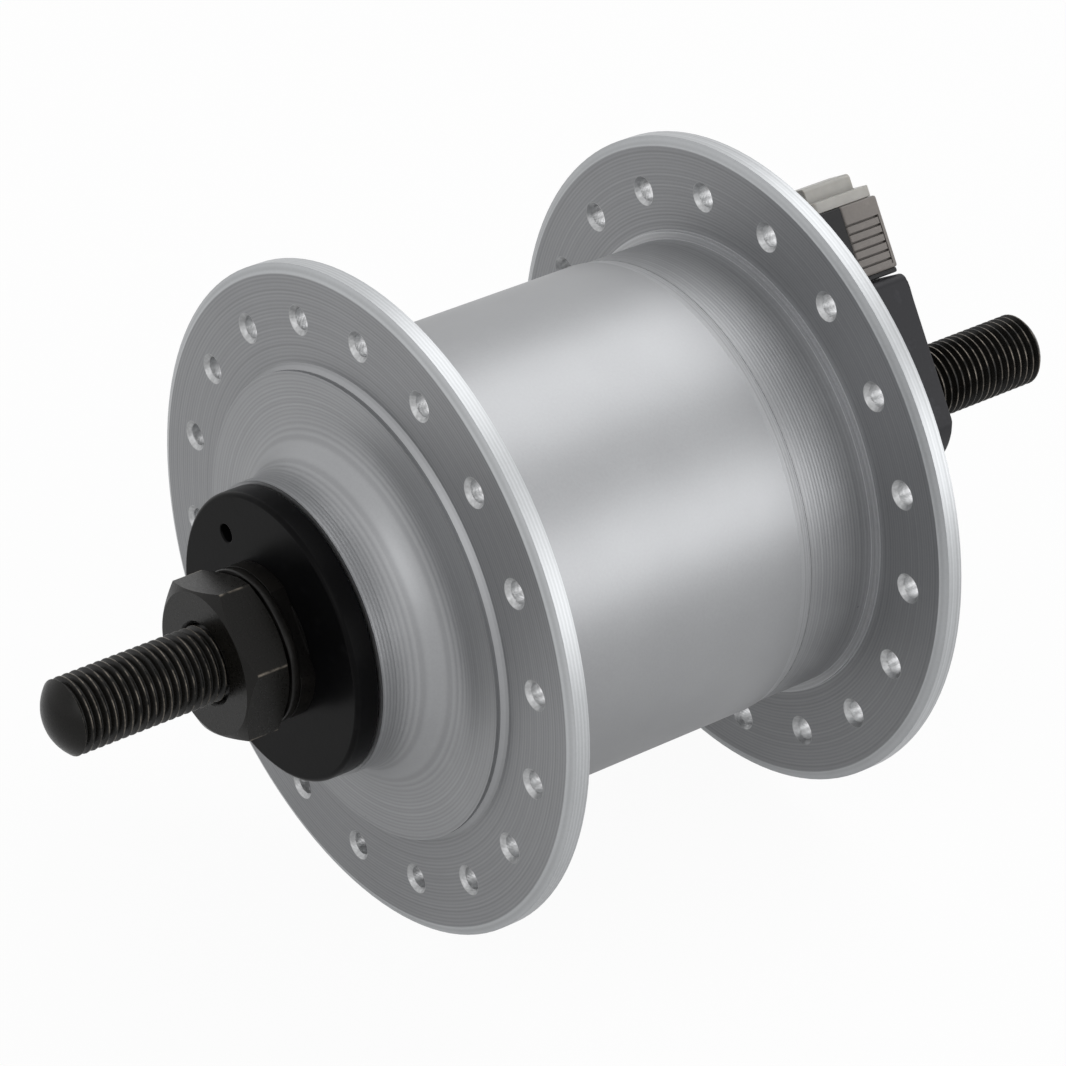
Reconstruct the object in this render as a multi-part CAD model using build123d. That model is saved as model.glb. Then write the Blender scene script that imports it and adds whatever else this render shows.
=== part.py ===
from build123d import *
import math
import os

# Hub dynamo for a bicycle front wheel, as separate pieces on one axle.
# Millimetres. The axle lies along Y with the plain end at +Y and the connector
# end at -Y. +Z is up. The origin is on the axle, midway between the fork ends.

os.makedirs("parts", exist_ok=True)

# Fits
seat = 0.05
running = 0.3
race_fit = 0.06
overrun = 1.0

# Axle
over_locknuts = 100.0
left_face = over_locknuts / 2
right_face = -left_face
axle_r = 4.425
left_stub = 20.0
right_stub = 20.0
axle_left = left_face + left_stub
axle_right = right_face - right_stub
axle_dome_r = 3.9
axle_dome_high = 1.5
axle_dome_sphere = (axle_dome_r**2 + axle_dome_high**2) / (2 * axle_dome_high)
thread_pitch = 1.0
thread_depth = 0.61
crest_share = 0.16
root_share = 0.2
threads_per_end = 21
collar_r = 6.4
collar_thick = 3.5
groove_width = 2.2
groove_floor_r = 2.3

# Ball bearings
ball_r = 2.38
ball_count = 10
ball_circle_r = 9.8
left_ball_y = 32.5
right_ball_y = -28.5
race_step = 0.15
cup_wall = 2.67
cup_r = ball_circle_r + ball_r + race_step + cup_wall
cup_wall_end = 2.6
cup_back = 4.1
cup_lip = 0.6
cup_lip_r = ball_circle_r + cup_lip
cup_seat_lip = 2.0
cup_seat_lip_r = cup_r - cup_seat_lip
cage_wide = 2.0
cage_near = 0.9
cage_far = 2.8
cone_back = 2.2
cone_shoulder_drop = 0.4
cone_shoulder_r = ball_circle_r - cone_shoulder_drop
cone_shoulder_far = 4.0
cone_stem_drop = 1.4
cone_stem_r = cone_shoulder_r - cone_stem_drop
seal_start = 3.1
seal_thick = 1.4

# Stator
stator_left = 25.0
stator_length = 32.0
stator_right = stator_left - stator_length
stator_r = 20.0
claws_per_plate = 14
claw_thick = 1.8
claw_width = 3.1
claw_short = 4.0
plate_thick = 1.5
core_r = 9.0
bobbin_wall = 1.0
coil_gap = 0.4
bobbin_r = stator_r - claw_thick - coil_gap
winding_drop = 0.5
winding_r = bobbin_r - winding_drop
stator_nut_flats = 14.0
stator_nut_thick = 3.2
stator_washer_r = 8.6
stator_washer_thick = 0.8

# Magnets in the shell
magnet_gap = 0.4
magnet_thick = 3.8
magnet_count = 4
magnet_split = 0.8
magnet_inset = 0.9
magnet_r_inner = stator_r + magnet_gap
magnet_r_outer = magnet_r_inner + magnet_thick
yoke_thick = 1.65
yoke_overhang = 0.4

# Hub shell, plain side
shell_wall = 1.6
shell_bore_r = magnet_r_outer + yoke_thick
barrel_r = shell_bore_r + shell_wall
barrel_corner = 0.8
spoke_rise = 5.55
spoke_circle_r = barrel_r + spoke_rise
spoke_edge = 6.3
flange_r = spoke_circle_r + spoke_edge
flange_thick = 2.8
left_flange_outer = 29.5
left_flange_inner = left_flange_outer - flange_thick
rim_bevel = 0.5
rim_bevel_wide = 1.1
boss_drop = 0.05
boss_r = barrel_r - boss_drop
boss_step = 0.65
boss_foot_r = boss_r + boss_step
boss_rise = 1.2
neck_wall = 2.2
neck_r = cup_r + neck_wall
neck_end = 38.3
neck_sweep = 5.8
web_thick = 4.5
web_face = left_flange_outer + boss_rise - web_thick

# Joint between the barrel and the end cap
band_start = -11.6
band_width = 1.65
seam = band_start - band_width
cap_drop = 0.25
cap_r = barrel_r - cap_drop
seam_gap = 0.05
spigot_length = 5.2
spigot_wall = 2.6
spigot_r = shell_bore_r - seat
spigot_end = seam + spigot_length
o_ring_wire_r = 0.7

# End cap with the flange of the connector side
right_flange_inner = -22.5
right_flange_outer = right_flange_inner - flange_thick
cap_ring = 0.9
cap_ring_r = cap_r + cap_ring
cap_ring_high = 0.5
cap_web_face = -21.0
cap_neck_wall = 1.6
cap_neck_r = cup_r + cap_neck_wall
cap_neck_end = -34.0
cap_neck_sweep = 5.0

# Spoke holes
spokes_per_flange = 18
spoke_hole_r = 1.3
spoke_mouth_r = 1.78
spoke_step = 360 / spokes_per_flange
left_spoke_turn = 1.7
right_spoke_turn = left_spoke_turn + spoke_step / 2

# Dust covers
cover_inset = 0.35
cover_r = neck_r - cover_inset
cover_round = 0.35
cover_face_r = cover_r - cover_round
left_cover_face = 41.5
cover_skirt_gap = 0.8
cover_skirt_r = cup_r - cover_skirt_gap
cover_skirt_wall = 1.0
cover_skirt_deep = 1.0
cover_hole_r = 1.05
cover_hole_inset = 4.35
cover_hole_circle_r = cover_r - cover_hole_inset
cover_hole_turn = -39.0
cover_hole_deep = 1.6
right_cover_inset = 0.4
right_cover_r = cap_neck_r - right_cover_inset
right_cover_thick = 2.9

# Nuts and washers of the plain side
nut_flats = 17.0
nut_thick = 5.5
nut_chamfer_r = 8.3
nut_chamfer_high = 0.87
nut_turn = 16.5
washer_r = 9.0
washer_thick = 1.1
cone_head_r = 9.0
cone_head_flats = 15.0
cone_head_turn = 34.0

# Connector side stack
right_cone_end = -38.0
right_washer_thick = 1.0
right_washer_r = 8.0
right_nut_flats = 13.0
right_nut_thick = 5.0
right_nut_turn = 30.0
spacer_r = 6.3

# Lead wire
wire_r = 0.6
sleeve_wall = 0.32
wire_path_r = 3.35
wire_exit_y = -42.0
wire_inner_rise = 1.8
wire_inner_r = core_r + bobbin_wall + wire_inner_rise
wire_hole_r = 1.1

# Terminal
arm_turn = 31.0
terminal_round_r = 9.15
terminal_half = 7.85
terminal_top = 14.1
terminal_corner = 1.0
terminal_gap = 0.2
blade_width = 3.0
blade_thick = 0.8
blade_spread = 3.4
blade_foot = 10.5
blade_tip = 20.0
foot_high = 1.0
foot_half = 0.9

# Plug
plug_half = 6.9
plug_top = 23.8
plug_corner = 0.8
plug_skirt = 0.6
plug_inner_y = -39.6
cover_deep = 5.5
contact_wall = 0.4
contact_low_gap = 0.6
contact_over = 0.8
rib_count = 6
rib_pitch = 1.05
rib_plain = 2.4
rib_border = 0.55
rib_groove = 0.3
rib_groove_deep = 0.45

# Lid on the plug
lid_half = 6.5
lid_plate = 1.35
lid_outer_gap = 0.1
lid_inner_y = -41.0
lug_half = 2.3
lug_spread = 2.7
lug_tall = 3.3
lug_short = 2.4
lug_outer_gap = 1.4
lug_inner_gap = 0.6
lug_round = 0.6


def turned(points):
    """A solid of revolution about Y from points of radius and y."""
    return revolve(make_face(Polyline(*points, close=True)), axis=Axis.Y)


def softened(points, corners):
    """The turned solid of an outline whose named corners are rounded."""
    face = make_face(Polyline(*points, close=True))
    for corner, radius in corners:
        place = Vector(corner[0], corner[1], 0)
        near = min(face.vertices(), key=lambda v: (Vector(v.X, v.Y, v.Z) - place).length)
        face = fillet([near], radius)
    return revolve(face, axis=Axis.Y)


def sleeve(outer, inner, low, high):
    """A tube about Y."""
    return turned([(inner, low), (outer, low), (outer, high), (inner, high)])


def rod(radius, low, high):
    """A round bar about Y."""
    return turned([(0, low), (radius, low), (radius, high), (0, high)])


def hex_bar(flats, low, high, turn):
    """A six-sided bar about Y."""
    plane = Plane(origin=(0, low, 0), x_dir=(-1, 0, 0), z_dir=(0, 1, 0))
    outline = plane * RegularPolygon(flats / 2, 6, major_radius=False)
    return Rot(0, turn, 0) * extrude(outline, amount=high - low)


def block(half, low_y, high_y, low_z, high_z, middle_x=0):
    """A box given by its half width and its ends along Y and Z."""
    place = Pos(middle_x, (low_y + high_y) / 2, (low_z + high_z) / 2)
    return place * Box(2 * half, high_y - low_y, high_z - low_z)


def around(piece, count, turn=0):
    """Copies of a piece at even steps about Y."""
    return [Rot(0, turn + step * 360 / count, 0) * piece for step in range(count)]


def on_arm(piece):
    """Turns a piece modelled above the axle to the direction of the terminal."""
    return Rot(0, arm_turn, 0) * piece


def pair_on_arm(pieces):
    """Separate solids of one node, each turned to the terminal's direction."""
    return Compound(children=[on_arm(piece) for piece in pieces])


def bar_between(start, end, radius):
    """A round bar from one point to another, with round ends."""
    run = Vector(*end) - Vector(*start)
    shank = Plane(origin=start, z_dir=run) * Cylinder(
        radius, run.length, align=(Align.CENTER, Align.CENTER, Align.MIN)
    )
    return shank + Pos(*start) * Sphere(radius) + Pos(*end) * Sphere(radius)


def thread_points(low):
    """Outline points of the thread ridges of one end, upward from a place."""
    flank = thread_pitch * (1 - crest_share - root_share) / 2
    points = []
    for ridge in range(threads_per_end):
        start = low + ridge * thread_pitch
        points.append((axle_r, start))
        points.append((axle_r, start + thread_pitch * crest_share))
        points.append((axle_r - thread_depth, start + thread_pitch * crest_share + flank))
        points.append((axle_r - thread_depth, start + thread_pitch - flank))
    points.append((axle_r, low + threads_per_end * thread_pitch))
    return points


def lead_groove(outer):
    """The slot that carries the lead along the axle."""
    return on_arm(block(groove_width / 2, wire_exit_y - groove_width / 2,
                        stator_right, groove_floor_r, outer))


def dome_arc(end, side):
    """The outline of the low dome on one end of the axle; side is where it points."""
    half_r = axle_dome_r / 2
    middle = end - side * axle_dome_sphere
    shoulder = middle + side * (axle_dome_sphere**2 - half_r**2) ** 0.5
    return ThreePointArc((axle_dome_r, end - side * axle_dome_high), (half_r, shoulder),
                         (0, end))


def axle():
    """The threaded axle with its domed ends, its collar and the groove for the lead."""
    left_ring = axle_left - axle_dome_high
    right_ring = axle_right + axle_dome_high
    chamfer = axle_r - axle_dome_r
    collar_end = stator_right - collar_thick
    points = [(axle_dome_r, right_ring)]
    points += thread_points(right_ring + chamfer)
    points += [(axle_r, collar_end), (collar_r, collar_end), (collar_r, stator_right),
               (axle_r, stator_right)]
    points += thread_points(left_ring - chamfer - threads_per_end * thread_pitch)
    points.append((axle_dome_r, left_ring))
    outline = [*Polyline(*points).edges(), dome_arc(axle_left, 1), dome_arc(axle_right, -1),
               Line((0, axle_right), (0, axle_left))]
    return revolve(make_face(outline), Axis.Y) - lead_groove(collar_r + overrun)


def threaded_nut(flats, low, high, turn, chamfer_r, chamfer_high):
    """A hexagon nut with both faces chamfered."""
    corner_r = flats / math.sqrt(3) + overrun
    spread = (corner_r - chamfer_r) * chamfer_high / (flats / math.sqrt(3) - chamfer_r)
    envelope = turned([(0, low), (chamfer_r, low), (corner_r, low + spread),
                       (corner_r, high - spread), (chamfer_r, high), (0, high)])
    bore = rod(axle_r + seat, low - overrun, high + overrun)
    return hex_bar(flats, low, high, turn) & envelope - bore


def left_locknut():
    return threaded_nut(nut_flats, left_face - nut_thick, left_face, nut_turn,
                        nut_chamfer_r, nut_chamfer_high)


def left_washer():
    high = left_face - nut_thick
    return sleeve(washer_r, axle_r + seat, high - washer_thick, high)


def bearing_points(ball_y, side, points):
    """Outline points given outward from the ball's middle, for either side."""
    return [(radius, ball_y + side * out) for radius, out in points]


def race_ring(ball_y):
    """The round groove that the balls roll in."""
    circle = Pos(ball_circle_r, ball_y) * Circle(ball_r + race_fit)
    return revolve(circle, axis=Axis.Y)


def cone(ball_y, side, stem_end):
    """A cone: the inner race with a stem that runs outward on the axle."""
    inner_r = ball_circle_r - ball_r - race_step
    stem = side * (stem_end - ball_y)
    outline = bearing_points(ball_y, side, [
        (axle_r + seat, -cone_back), (inner_r, -cone_back), (inner_r, 0),
        (cone_shoulder_r, 0), (cone_shoulder_r, cone_shoulder_far),
        (cone_stem_r, cone_shoulder_far), (cone_stem_r, stem), (axle_r + seat, stem)])
    return turned(outline) - race_ring(ball_y)


def left_cone():
    """The plain side's cone, with a head whose two flats take a spanner."""
    head_top = left_face - nut_thick - washer_thick
    head = sleeve(cone_head_r, axle_r + seat, left_cover_face, head_top)
    flats = block(cone_head_flats / 2, left_cover_face, head_top,
                  -cone_head_r, cone_head_r)
    return cone(left_ball_y, 1, left_cover_face) + (head & Rot(0, cone_head_turn, 0) * flats)


def right_cone():
    return cone(right_ball_y, -1, right_cone_end)


def cup(ball_y, side):
    """A cup: the outer race, pressed into the shell."""
    bore = ball_circle_r + ball_r + race_step
    outline = bearing_points(ball_y, side, [
        (cup_lip_r, -cup_back), (cup_r, -cup_back), (cup_r, cup_wall_end),
        (bore, cup_wall_end), (bore, 0), (cup_lip_r, 0)])
    return turned(outline) - race_ring(ball_y)


def balls(ball_y):
    """One bearing's balls."""
    return Compound(children=around(Pos(0, ball_y, ball_circle_r) * Sphere(ball_r), ball_count))


def ball_cage(ball_y, side):
    """The ring with pockets that spaces the balls."""
    outer = ball_circle_r + ball_r + race_step - running
    pocket = Pos(0, ball_y, ball_circle_r) * Sphere(ball_r + race_fit)
    outline = bearing_points(ball_y, side, [
        (outer - cage_wide, cage_near), (outer, cage_near),
        (outer, cage_far), (outer - cage_wide, cage_far)])
    return turned(outline) - around(pocket, ball_count)


def seal(ball_y, side):
    """A rubber ring in the shell's neck whose lip runs over the cone."""
    outline = bearing_points(ball_y, side, [
        (cone_shoulder_r + running, seal_start), (cup_r, seal_start),
        (cup_r, seal_start + seal_thick),
        (cone_shoulder_r + running, seal_start + seal_thick)])
    return turned(outline)


def spoke_tool(low, high):
    """One spoke hole with both mouths opened at 45 degrees."""
    mouth = spoke_mouth_r - spoke_hole_r
    return Pos(0, 0, spoke_circle_r) * turned([
        (0, low - overrun), (spoke_mouth_r + overrun, low - overrun),
        (spoke_hole_r, low + mouth), (spoke_hole_r, high - mouth),
        (spoke_mouth_r + overrun, high + overrun), (0, high + overrun)])


def shell_barrel():
    """The barrel with the plain side's flange, boss and neck in one piece."""
    boss_face = left_flange_outer + boss_rise
    cup_seat = left_ball_y - cup_back
    neck_corner = (neck_r, boss_face)
    barrel_foot = (barrel_r, left_flange_inner)
    outline = [
        (shell_bore_r, seam + seam_gap), (cap_r, seam + seam_gap),
        (barrel_r, band_start), barrel_foot,
        (flange_r - rim_bevel_wide, left_flange_inner),
        (flange_r, left_flange_inner + rim_bevel),
        (flange_r, left_flange_outer - rim_bevel),
        (flange_r - rim_bevel_wide, left_flange_outer),
        (boss_foot_r, left_flange_outer), (boss_r, left_flange_outer + boss_step),
        (boss_r, boss_face), neck_corner, (neck_r, neck_end), (cup_r, neck_end),
        (cup_r, cup_seat), (cup_seat_lip_r, cup_seat),
        (cup_seat_lip_r, web_face), (shell_bore_r, web_face)]
    shell = softened(outline, [(neck_corner, neck_sweep), (barrel_foot, barrel_corner)])
    holes = around(spoke_tool(left_flange_inner, left_flange_outer),
                   spokes_per_flange, -left_spoke_turn)
    return shell - holes


def end_cap():
    """The cap that closes the barrel and carries the connector side's flange."""
    boss_face = right_flange_outer - boss_rise
    cup_seat = right_ball_y + cup_back
    neck_corner = (cap_neck_r, boss_face)
    inner_r = spigot_r - spigot_wall
    ring_low = spigot_end - spigot_length / 2 - o_ring_wire_r
    outline = [
        (spigot_r, spigot_end), (spigot_r, seam), (cap_r, seam),
        (cap_r, right_flange_inner + cap_ring_high),
        (cap_ring_r, right_flange_inner + cap_ring_high),
        (cap_ring_r, right_flange_inner),
        (flange_r - rim_bevel_wide, right_flange_inner),
        (flange_r, right_flange_inner - rim_bevel),
        (flange_r, right_flange_outer + rim_bevel),
        (flange_r - rim_bevel_wide, right_flange_outer),
        (boss_foot_r, right_flange_outer), (boss_r, right_flange_outer - boss_step),
        (boss_r, boss_face), neck_corner, (cap_neck_r, cap_neck_end),
        (cup_r, cap_neck_end), (cup_r, cup_seat), (cup_seat_lip_r, cup_seat),
        (cup_seat_lip_r, cap_web_face), (inner_r, cap_web_face), (inner_r, spigot_end)]
    shell = softened(outline, [(neck_corner, cap_neck_sweep)])
    groove = sleeve(spigot_r + overrun, spigot_r - 2 * o_ring_wire_r + seat,
                    ring_low, ring_low + 2 * o_ring_wire_r)
    holes = around(spoke_tool(right_flange_outer, right_flange_inner),
                   spokes_per_flange, -right_spoke_turn)
    return shell - groove - holes


def shell_o_ring():
    """The round ring that seals the cap in the barrel."""
    middle = Pos(spigot_r + seat - o_ring_wire_r, spigot_end - spigot_length / 2)
    return revolve(middle * Circle(o_ring_wire_r), axis=Axis.Y)


def magnet_yoke():
    """The steel ring behind the magnets."""
    return sleeve(shell_bore_r, magnet_r_outer, stator_right - yoke_overhang,
                  stator_left + yoke_overhang)


def magnets():
    """Arcs of magnet inside the yoke."""
    ring = sleeve(magnet_r_outer, magnet_r_inner, stator_right + magnet_inset,
                  stator_left - magnet_inset)
    split = block(magnet_split / 2, stator_right, stator_left, 0, shell_bore_r)
    return Compound(children=(ring - around(split, magnet_count)).solids())


def claw_plate(face, side):
    """A steel plate whose claws reach over the coil; side is where they point."""
    inner = face + side * plate_thick
    tip = face + side * (stator_length - claw_short)
    low, high = sorted((face, inner))
    claw_low, claw_high = sorted((face, tip))
    plate = sleeve(stator_r, axle_r + seat, low, high)
    claw = sleeve(stator_r, stator_r - claw_thick, claw_low, claw_high) & block(
        claw_width / 2, claw_low, claw_high, 0, stator_r)
    turn = 180 / claws_per_plate if side < 0 else 0
    return plate + around(claw, claws_per_plate, turn)


def wire_passage():
    """The hole that lets the lead through the stator's end."""
    low = stator_right - overrun
    hole = Pos(0, 0, wire_inner_r) * rod(wire_hole_r, low,
                                         stator_right + plate_thick + 2 * bobbin_wall)
    return on_arm(hole)


def left_claw_plate():
    return claw_plate(stator_left, -1)


def right_claw_plate():
    return claw_plate(stator_right, 1) - wire_passage()


def stator_core():
    return sleeve(core_r, axle_r + seat, stator_right + plate_thick,
                  stator_left - plate_thick)


def coil_bobbin():
    """The plastic spool that the coil is wound on."""
    low = stator_right + plate_thick
    high = stator_left - plate_thick
    wall_r = core_r + bobbin_wall
    spool = turned([
        (core_r, low), (bobbin_r, low), (bobbin_r, low + bobbin_wall),
        (wall_r, low + bobbin_wall), (wall_r, high - bobbin_wall),
        (bobbin_r, high - bobbin_wall), (bobbin_r, high), (core_r, high)])
    return spool - wire_passage()


def coil_winding():
    """The wound copper as one body."""
    low = stator_right + plate_thick + bobbin_wall
    high = stator_left - plate_thick - bobbin_wall
    return sleeve(winding_r, core_r + bobbin_wall, low, high) - wire_passage()


def stator_washer():
    return sleeve(stator_washer_r, axle_r + seat, stator_left,
                  stator_left + stator_washer_thick)


def stator_nut():
    low = stator_left + stator_washer_thick
    chamfer_r = stator_nut_flats / 2
    return threaded_nut(stator_nut_flats, low, low + stator_nut_thick, 0,
                        chamfer_r, nut_chamfer_high / 2)


def lead_points():
    """The lead's corners from the coil to the terminal, along the arm."""
    coil_y = stator_right + plate_thick + 2 * bobbin_wall - wire_r
    cross_y = stator_right - collar_thick / 2
    return [(0, coil_y, wire_inner_r), (0, cross_y, wire_inner_r),
            (0, cross_y, wire_path_r), (0, wire_exit_y, wire_path_r),
            (0, wire_exit_y, blade_foot - wire_r)]


def lead_wire():
    """The copper lead."""
    corners = lead_points()
    runs = [bar_between(a, b, wire_r) for a, b in zip(corners, corners[1:])]
    wire = runs[0]
    for run in runs[1:]:
        wire = wire + run
    return on_arm(wire)


def lead_sleeve():
    """The insulating tube on the lead where it lies in the groove."""
    low = wire_exit_y + groove_width / 2
    high = stator_right - collar_thick / 2 - groove_width / 2
    tube = sleeve(wire_r + sleeve_wall, wire_r, low, high)
    return on_arm(Pos(0, 0, wire_path_r) * tube)


def dust_cover(radius, face_r, back, face, side):
    """A black ring on the cone that hides the bearing, with a skirt behind."""
    skirt_end = back - side * cover_skirt_deep
    inner = cone_stem_r
    outline = [
        (inner, face), (face_r, face), (radius, face - side * cover_round),
        (radius, back), (cover_skirt_r, back), (cover_skirt_r, skirt_end),
        (cover_skirt_r - cover_skirt_wall, skirt_end),
        (cover_skirt_r - cover_skirt_wall, back), (inner, back)]
    return turned(outline)


def left_dust_cover():
    cover = dust_cover(cover_r, cover_face_r, neck_end + running, left_cover_face, 1)
    hole = Pos(0, 0, cover_hole_circle_r) * rod(
        cover_hole_r, left_cover_face - cover_hole_deep, left_cover_face + overrun)
    return cover - Rot(0, -cover_hole_turn, 0) * hole


def right_dust_cover():
    back = cap_neck_end - running
    rounded = right_cover_r - cover_round
    return dust_cover(right_cover_r, rounded, back, back - right_cover_thick, -1)


def right_washer():
    return sleeve(right_washer_r, axle_r + seat, right_cone_end - right_washer_thick,
                  right_cone_end)


def right_spacer():
    """The steel tube inside the terminal, slotted for the lead."""
    low = right_face + right_nut_thick
    high = right_cone_end - right_washer_thick
    tube = sleeve(spacer_r, axle_r + seat, low, high)
    slot = block(groove_width / 2, wire_exit_y - groove_width / 2, high + overrun,
                 0, spacer_r + overrun)
    return tube - on_arm(slot)


def right_locknut():
    """The nut that clamps the terminal, flush with its outer face."""
    low = right_face
    chamfer_r = right_nut_flats / 2
    nut = threaded_nut(right_nut_flats, low, low + right_nut_thick, right_nut_turn,
                       chamfer_r, nut_chamfer_high / 2)
    return on_arm(nut)


def blade_pair(grow, low, high):
    """Two blades side by side, grown evenly for pockets and clips."""
    half = blade_width / 2 + grow
    near = wire_exit_y - blade_thick / 2 - grow
    far = wire_exit_y + blade_thick / 2 + grow
    return [block(half, near, far, low, high, side * blade_spread) for side in (-1, 1)]


def blade_foot_strap():
    """The strap that takes the lead's end to one blade."""
    near = wire_exit_y - blade_thick / 2
    far = wire_exit_y + blade_thick / 2
    reach = blade_spread - blade_width / 2
    half = (reach + foot_half) / 2
    return block(half, near, far, blade_foot, blade_foot + foot_high, reach - half)


def contact_blades():
    """The two flat contacts that stand up into the plug."""
    pair = blade_pair(0, blade_foot, blade_tip)
    return pair_on_arm([pair[0], pair[1] + blade_foot_strap()])


def terminal_body():
    """The plastic block round the axle that holds the contacts."""
    inner_face = right_cone_end - right_washer_thick - terminal_gap
    plane = Plane(origin=(0, right_face, 0), x_dir=(-1, 0, 0), z_dir=(0, 1, 0))
    arm = make_face(Polyline(
        (-terminal_half, 0), (terminal_half, 0), (terminal_half, terminal_top),
        (-terminal_half, terminal_top), close=True))
    arm = fillet(arm.vertices().sort_by(Axis.Y)[-2:], terminal_corner)
    foot = Circle(terminal_round_r) & Rectangle(2 * terminal_half, 2 * terminal_round_r)
    outline = plane * (foot + arm)
    shell = extrude(outline, amount=inner_face - right_face)
    pocket = hex_bar(right_nut_flats + 2 * seat, right_face - overrun,
                     right_face + right_nut_thick, right_nut_turn)
    bore = rod(spacer_r + seat, right_face, inner_face + overrun)
    channel = block(wire_hole_r, wire_exit_y - wire_hole_r, wire_exit_y + wire_hole_r,
                    0, blade_foot)
    blades = blade_pair(0, blade_foot, terminal_top + overrun)
    return on_arm(shell - pocket - bore - channel - blades - blade_foot_strap())


def plug_blank(half, low_y, high_y, low_z, high_z):
    """A block whose upright corners are rounded."""
    body = block(half, low_y, high_y, low_z, high_z)
    return fillet(body.edges().filter_by(Axis.Z), plug_corner)


def plug_cover_room():
    """The space of the ribbed cover on the plug's outer half."""
    return block(plug_half, right_face, right_face + cover_deep,
                 terminal_top + running + plug_skirt, plug_top)


def contact_box(grow):
    """The outside of the two spring clips, or the pockets for them."""
    low = terminal_top + running + contact_low_gap
    high = blade_tip + contact_over
    return blade_pair(running + contact_wall + grow, low, high)


def plug_body():
    """The black inner half of the plug, with the skirt that seats it."""
    low_z = terminal_top + running
    blank = plug_blank(plug_half, right_face, plug_inner_y, low_z, plug_top)
    entry = blade_pair(running, low_z - overrun, low_z + overrun)
    return on_arm(blank - plug_cover_room() - contact_box(0) - entry)


def plug_contacts():
    """The two clips that grip the blades."""
    low = terminal_top + running + contact_low_gap
    slots = blade_pair(running, low - overrun, blade_tip + running)
    clips = [clip - slot for clip, slot in zip(contact_box(0), slots)]
    return pair_on_arm(clips)


def plug_cover():
    """The grey outer half of the plug, with ribs for the fingers."""
    low_z = terminal_top + running + plug_skirt
    blank = plug_blank(plug_half, right_face, right_face + cover_deep + overrun,
                       low_z, plug_top)
    cover = blank & plug_cover_room()
    core = block(plug_half - rib_groove_deep, right_face,
                 right_face + cover_deep + overrun, low_z, plug_top)
    for rib in range(rib_count):
        height = plug_top - rib_plain - rib * rib_pitch
        slab = block(plug_half + overrun, right_face + rib_border, right_face + cover_deep,
                     height - rib_groove / 2, height + rib_groove / 2)
        cover = cover - (slab - core)
    return on_arm(cover - contact_box(0))


def lug(height, middle_x):
    """A lug with rounded upper edges that a wire is looped over."""
    low = plug_top + seat
    post = block(lug_half, right_face + lug_outer_gap, lid_inner_y - lug_inner_gap,
                 low, low + height, middle_x)
    return fillet(post.edges().filter_by(Axis.Y).group_by(Axis.Z)[-1], lug_round)


def plug_lid():
    """The clear grey lid on the plug, with two lugs of unlike height."""
    low = plug_top + seat
    plate = plug_blank(lid_half, right_face + lid_outer_gap, lid_inner_y,
                       low, low + lid_plate)
    return on_arm(plate + lug(lug_tall, -lug_spread) + lug(lug_short, lug_spread))


def left_balls():
    return balls(left_ball_y)


def right_balls():
    return balls(right_ball_y)


def left_ball_cage():
    return ball_cage(left_ball_y, 1)


def right_ball_cage():
    return ball_cage(right_ball_y, -1)


def left_cup():
    return cup(left_ball_y, 1)


def right_cup():
    return cup(right_ball_y, -1)


def left_seal():
    return seal(left_ball_y, 1)


def right_seal():
    return seal(right_ball_y, -1)


pieces = [
    axle, left_locknut, left_washer, left_cone, left_dust_cover,
    right_cone, right_dust_cover, right_washer, right_spacer, right_locknut,
    left_claw_plate, right_claw_plate, stator_core, coil_bobbin, coil_winding,
    stator_washer, stator_nut, lead_wire, lead_sleeve, terminal_body, contact_blades,
    shell_barrel, end_cap, shell_o_ring, magnet_yoke, magnets,
    left_cup, right_cup, left_seal, right_seal,
    left_balls, left_ball_cage, right_balls, right_ball_cage,
    plug_body, plug_cover, plug_contacts, plug_lid,
]

for piece in pieces:
    export_step(piece(), "parts/" + piece.__name__ + ".step")
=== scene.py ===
"""Looks of a bicycle hub dynamo, built around its fixed frame of solids."""

import logging
import math
from dataclasses import dataclass, field
from enum import Enum

import bpy
from mathutils import Matrix, Vector


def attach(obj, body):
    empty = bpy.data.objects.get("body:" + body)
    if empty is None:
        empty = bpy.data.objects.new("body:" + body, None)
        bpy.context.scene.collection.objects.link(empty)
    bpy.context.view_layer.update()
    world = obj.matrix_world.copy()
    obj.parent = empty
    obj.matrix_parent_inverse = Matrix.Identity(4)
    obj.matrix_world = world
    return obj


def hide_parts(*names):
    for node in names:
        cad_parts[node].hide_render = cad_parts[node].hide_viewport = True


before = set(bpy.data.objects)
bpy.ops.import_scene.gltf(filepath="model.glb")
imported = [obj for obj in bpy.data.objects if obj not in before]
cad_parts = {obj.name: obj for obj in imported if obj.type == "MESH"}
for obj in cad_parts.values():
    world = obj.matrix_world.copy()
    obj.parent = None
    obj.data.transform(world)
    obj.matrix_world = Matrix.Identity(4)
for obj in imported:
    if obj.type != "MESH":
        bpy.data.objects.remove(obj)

log = logging.getLogger("hub")
MM = 0.001
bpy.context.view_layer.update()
ALONG_Y = math.radians(-90)
ARM_TURN = math.radians(31.0)
BEVEL_ANGLE = math.radians(28)
SMOOTH_ANGLE = math.radians(35)
FLAT_ANGLE = math.radians(0.4)
MERGE_WITHIN = 0.002
FINE_SIDES = 96
BORE_SIDES = 64


def linear(colour: str) -> tuple[float, float, float, float]:
    """Turns an sRGB hex colour to linear values.

    Args:
        colour: six hex digits with a leading hash.

    Returns:
        Red, green, blue and an alpha of one.
    """
    values = [int(colour[start:start + 2], 16) / 255 for start in (1, 3, 5)]
    parts = [v / 12.92 if v <= 0.04045 else ((v + 0.055) / 1.055) ** 2.4 for v in values]
    return parts[0], parts[1], parts[2], 1.0


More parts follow.
